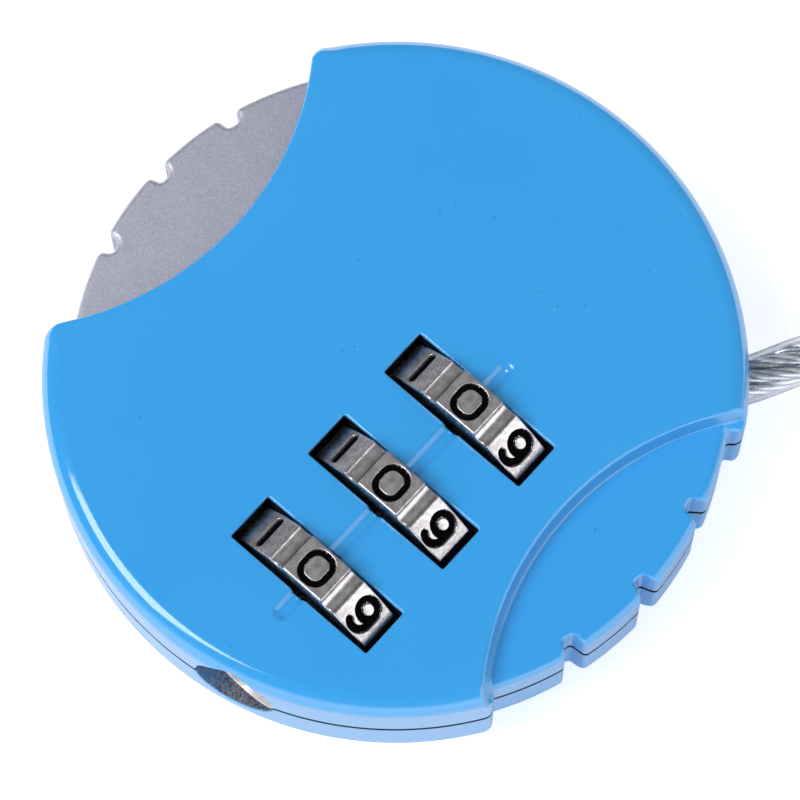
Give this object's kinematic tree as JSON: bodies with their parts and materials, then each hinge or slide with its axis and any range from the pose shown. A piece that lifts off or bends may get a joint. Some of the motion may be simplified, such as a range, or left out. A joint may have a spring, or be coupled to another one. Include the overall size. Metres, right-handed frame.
{
  "type": "luggage combination padlock",
  "caption": "Round luggage padlock: two covers, number dials under windows, a squeeze release button, and a coated cable shackle with a plug end.",
  "frame": {"origin": "centre of the disc on the flat of the back cover", "axes": "+Z out of the front face with the windows' index groove, +X along the dial axle away from the plug hole, +Y towards the release button"},
  "size_m": [0.0822, 0.1693, 0.0133],
  "materials": {
    "blue_enamel": "gloss enamel over die-cast zinc",
    "black_plastic": "moulded, matte",
    "bright_steel": "turned, bright",
    "spring_steel": "drawn wire and strip",
    "raw_zinc": "as-cast zinc, dark and rough",
    "ferrule_metal": "crimped",
    "screw_steel": "zinc plated",
    "dial_nickel": "nickel plated, fine sand texture, black filled digits",
    "cam_brass": "turned",
    "satin_nickel": "satin nickel, sand-blasted",
    "plated_steel": "stamped, zinc plated",
    "clear_pvc": "clear soft PVC coating",
    "wire_rope": "twisted galvanised wires"
  },
  "bodies": {
    "body": {"front_cover": "blue_enamel", "back_cover": "blue_enamel", "chassis": "black_plastic", "dial_axle": "bright_steel", "detent_spring": "spring_steel", "plug_socket": "raw_zinc", "cable_anchor": "ferrule_metal", "cable_coat_0": "clear_pvc", "cable_rope_0": "wire_rope", "case_screw_1": "screw_steel", "case_screw_2": "screw_steel", "case_screw_3": "screw_steel", "button_spring_left": "spring_steel", "button_spring_right": "spring_steel", "reset_spring": "spring_steel"},
    "dial_1": {"number_dial_1": "dial_nickel", "cam_sleeve_1": "cam_brass"},
    "dial_2": {"number_dial_2": "dial_nickel", "cam_sleeve_2": "cam_brass"},
    "dial_3": {"number_dial_3": "dial_nickel", "cam_sleeve_3": "cam_brass"},
    "release": {"release_button": "satin_nickel", "locking_slide": "plated_steel"},
    "reset": {"reset_pin": "bright_steel"},
    "cable_1": {"cable_coat_1": "clear_pvc", "cable_rope_1": "wire_rope"},
    "cable_2": {"cable_coat_2": "clear_pvc", "cable_rope_2": "wire_rope"},
    "cable_3": {"cable_coat_3": "clear_pvc", "cable_rope_3": "wire_rope"},
    "cable_4": {"cable_coat_4": "clear_pvc", "cable_rope_4": "wire_rope"},
    "cable_5": {"cable_coat_5": "clear_pvc", "cable_rope_5": "wire_rope"},
    "cable_6": {"cable_coat_6": "clear_pvc", "cable_rope_6": "wire_rope"},
    "cable_7": {"cable_coat_7": "clear_pvc", "cable_rope_7": "wire_rope"},
    "cable_8": {"cable_coat_8": "clear_pvc", "cable_rope_8": "wire_rope"},
    "cable_9": {"cable_coat_9": "clear_pvc", "cable_rope_9": "wire_rope"},
    "cable_10": {"cable_coat_10": "clear_pvc", "cable_rope_10": "wire_rope"},
    "cable_11": {"cable_coat_11": "clear_pvc", "cable_rope_11": "wire_rope"},
    "cable_12": {"cable_coat_12": "clear_pvc", "cable_rope_12": "wire_rope", "plug_collar": "satin_nickel", "cable_plug": "bright_steel"}
  },
  "joints": [
    {"name": "dial_1_spin", "type": "hinge", "parent": "body", "child": "dial_1", "pos_m": [0.00094, -0.00528, 0.00495], "axis": [1, 0, 0], "continuous": true},
    {"name": "dial_2_spin", "type": "hinge", "parent": "body", "child": "dial_2", "pos_m": [-0.00608, -0.00528, 0.00495], "axis": [1, 0, 0], "continuous": true},
    {"name": "dial_3_spin", "type": "hinge", "parent": "body", "child": "dial_3", "pos_m": [-0.0131, -0.00528, 0.00495], "axis": [1, 0, 0], "continuous": true},
    {"name": "button_press", "type": "slide", "parent": "body", "child": "release", "axis": [0, -1, 0], "range_m": [0, 0.002], "deforming": ["button_spring_left", "button_spring_right"]},
    {"name": "reset_press", "type": "slide", "parent": "body", "child": "reset", "axis": [0, 0, 1], "range_m": [0, 0.0012], "deforming": ["reset_spring"]},
    {"name": "cable_bend_1", "type": "hinge", "parent": "body", "child": "cable_1", "pos_m": [0.01556, -0.01639, 0.0055], "axis": [0, 0, -1], "range_deg": [-7, 33]},
    {"name": "cable_bend_2", "type": "hinge", "parent": "cable_1", "child": "cable_2", "pos_m": [0.02506, -0.02371, 0.0055], "axis": [0, 0, -1], "range_deg": [-7, 29.46]},
    {"name": "cable_bend_3", "type": "hinge", "parent": "cable_2", "child": "cable_3", "pos_m": [0.03361, -0.03214, 0.0055], "axis": [0, 0, -1], "range_deg": [-7, 22.84]},
    {"name": "cable_bend_4", "type": "hinge", "parent": "cable_3", "child": "cable_4", "pos_m": [0.04106, -0.04154, 0.0055], "axis": [0, 0, -1], "range_deg": [-7, 15.71]},
    {"name": "cable_bend_5", "type": "hinge", "parent": "cable_4", "child": "cable_5", "pos_m": [0.04731, -0.05179, 0.0055], "axis": [0, 0, -1], "range_deg": [-7, 10.13]},
    {"name": "cable_bend_6", "type": "hinge", "parent": "cable_5", "child": "cable_6", "pos_m": [0.05227, -0.06272, 0.0055], "axis": [0, 0, -1], "range_deg": [-7, 7.35]},
    {"name": "cable_bend_7", "type": "hinge", "parent": "cable_6", "child": "cable_7", "pos_m": [0.05586, -0.07417, 0.0055], "axis": [0, 0, -1], "range_deg": [-7, 7.91]},
    {"name": "cable_bend_8", "type": "hinge", "parent": "cable_7", "child": "cable_8", "pos_m": [0.05803, -0.08597, 0.0055], "axis": [0, 0, -1], "range_deg": [-7, 11.72]},
    {"name": "cable_bend_9", "type": "hinge", "parent": "cable_8", "child": "cable_9", "pos_m": [0.05874, -0.09795, 0.0055], "axis": [0, 0, -1], "range_deg": [-7, 17.99]},
    {"name": "cable_bend_10", "type": "hinge", "parent": "cable_9", "child": "cable_10", "pos_m": [0.05799, -0.10992, 0.0055], "axis": [0, 0, -1], "range_deg": [-7, 25.2]},
    {"name": "cable_bend_11", "type": "hinge", "parent": "cable_10", "child": "cable_11", "pos_m": [0.05578, -0.12172, 0.0055], "axis": [0, 0, -1], "range_deg": [-7, 31.07]},
    {"name": "cable_bend_12", "type": "hinge", "parent": "cable_11", "child": "cable_12", "pos_m": [0.05215, -0.13316, 0.0055], "axis": [0, 0, -1], "range_deg": [-7, 33]}
  ]
}
